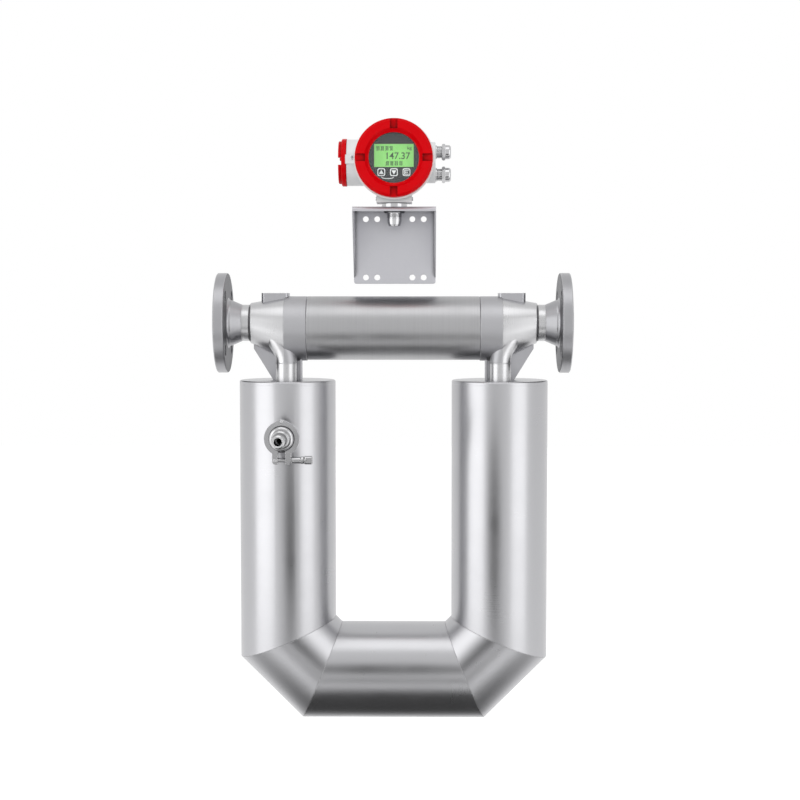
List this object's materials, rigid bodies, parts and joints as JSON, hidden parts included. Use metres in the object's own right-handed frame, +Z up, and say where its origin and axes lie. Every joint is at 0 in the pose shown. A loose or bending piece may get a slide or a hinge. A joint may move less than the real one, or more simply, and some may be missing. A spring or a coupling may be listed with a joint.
{
  "type": "coriolis flow meter",
  "caption": "Twin-tube coriolis flow meter: flanged U-shaped sensor with a polished case and signal connector, and a swivelling display transmitter on its own wall bracket.",
  "frame": {"origin": "centre of the inlet flange's raised face", "axes": "+X along the line from inlet to outlet, +Y to the rear, away from the display, +Z up"},
  "size_m": [0.588, 0.2795, 0.9918],
  "materials": {
    "polished_steel": "satin polished",
    "brushed_steel": "fine circumferential brush",
    "sheet_steel": "plain sheet",
    "fastener_steel": "bright",
    "red_paint": "gloss",
    "white_paint": "satin",
    "rubber": "matte",
    "clear_glass": "clear",
    "display_green": "gloss",
    "black_plastic": "matte",
    "board_green": "satin",
    "copper": "satin",
    "magnet_grey": "plain"
  },
  "bodies": {
    "meter": {"inlet_flange": "polished_steel", "outlet_flange": "polished_steel", "inlet_splitter": "polished_steel", "outlet_splitter": "polished_steel", "centre_tube": "brushed_steel", "inlet_leg_shell": "polished_steel", "inlet_corner_shell": "polished_steel", "bottom_shell": "polished_steel", "outlet_corner_shell": "polished_steel", "outlet_leg_shell": "polished_steel", "inlet_leg_cap": "polished_steel", "outlet_leg_cap": "polished_steel", "inlet_top_channel": "sheet_steel", "outlet_top_channel": "sheet_steel", "inlet_gusset": "sheet_steel", "outlet_gusset": "sheet_steel", "node_plates": "brushed_steel", "connector_stub": "polished_steel", "connector_gasket": "rubber", "signal_connector": "fastener_steel", "clamp_left_half": "brushed_steel", "clamp_right_half": "brushed_steel", "clamp_hinge_pin": "fastener_steel", "clamp_bolt_pin": "fastener_steel", "neck_stem": "brushed_steel", "neck_lock_nut": "fastener_steel", "neck_gland_nut": "fastener_steel", "neck_gland_seal": "rubber", "wall_bracket": "sheet_steel"},
    "front_tube": {"front_flow_tube": "polished_steel", "coil_brackets": "sheet_steel", "drive_coil": "copper", "pickoff_coils": "copper"},
    "rear_tube": {"rear_flow_tube": "polished_steel", "magnet_brackets": "sheet_steel", "drive_magnet": "magnet_grey", "pickoff_magnets": "magnet_grey", "temperature_sensor": "magnet_grey"},
    "clamp_bolt": {"clamp_swing_bolt": "fastener_steel"},
    "clamp_nut": {"clamp_nut": "fastener_steel"},
    "transmitter": {"housing": "white_paint", "cover_lock": "white_paint", "cover_lock_screw": "fastener_steel", "display_faceplate": "black_plastic", "display_glass": "display_green", "display_board": "board_green", "main_board": "board_green", "board_pillars": "brushed_steel", "terminal_block": "black_plastic", "terminal_screws": "fastener_steel", "gland_bodies": "fastener_steel", "gland_nuts": "fastener_steel", "gland_seals": "rubber", "neck_screws": "fastener_steel"},
    "front_cover_seal": {"front_cover_seal": "rubber"},
    "front_cover": {"front_cover": "red_paint", "window_glass": "clear_glass", "window_retainer": "sheet_steel"},
    "side_cover_seal": {"side_cover_seal": "rubber"},
    "side_cover": {"side_cover": "red_paint"}
  },
  "joints": [
    {"name": "front_tube_swing", "type": "hinge", "parent": "meter", "child": "front_tube", "pos_m": [0.294, -0.025, -0.122], "axis": [1, 0, 0], "range_deg": [-0.1, 0.1], "stiffness_Nm_per_rad": 400},
    {"name": "rear_tube_swing", "type": "hinge", "parent": "meter", "child": "rear_tube", "pos_m": [0.294, 0.025, -0.122], "axis": [1, 0, 0], "range_deg": [-0.1, 0.1], "stiffness_Nm_per_rad": 400},
    {"name": "clamp_bolt_swing", "type": "hinge", "parent": "meter", "child": "clamp_bolt", "pos_m": [0.10735, -0.12, -0.217], "axis": [0, 1, 0], "range_deg": [0, 100]},
    {"name": "clamp_nut_turn", "type": "hinge", "parent": "clamp_bolt", "child": "clamp_nut", "pos_m": [0.14, -0.12, -0.217], "axis": [1, 0, 0], "range_deg": [0, 720]},
    {"name": "transmitter_swivel", "type": "hinge", "parent": "meter", "child": "transmitter", "pos_m": [0.2955, 0, 0.19], "axis": [0, 0, 1], "range_deg": [-175, 175]},
    {"name": "front_cover_turn", "type": "hinge", "parent": "transmitter", "child": "front_cover_seal", "pos_m": [0.2955, -0.05, 0.2668], "axis": [0, -1, 0], "range_deg": [0, 1440]},
    {"name": "front_cover_advance", "type": "slide", "parent": "front_cover_seal", "child": "front_cover", "axis": [0, -1, 0], "range_m": [0, 0.012]},
    {"name": "side_cover_turn", "type": "hinge", "parent": "transmitter", "child": "side_cover_seal", "pos_m": [0.2155, 0.037, 0.2668], "axis": [-1, 0, 0], "range_deg": [0, 1440]},
    {"name": "side_cover_advance", "type": "slide", "parent": "side_cover_seal", "child": "side_cover", "axis": [-1, 0, 0], "range_m": [0, 0.012]}
  ],
  "couplings": [
    {"joint": "rear_tube_swing", "follows": "front_tube_swing", "ratio": -1},
    {"joint": "front_cover_advance", "follows": "front_cover_turn", "m_per_rad": 0.00047746},
    {"joint": "side_cover_advance", "follows": "side_cover_turn", "m_per_rad": 0.00047746}
  ]
}
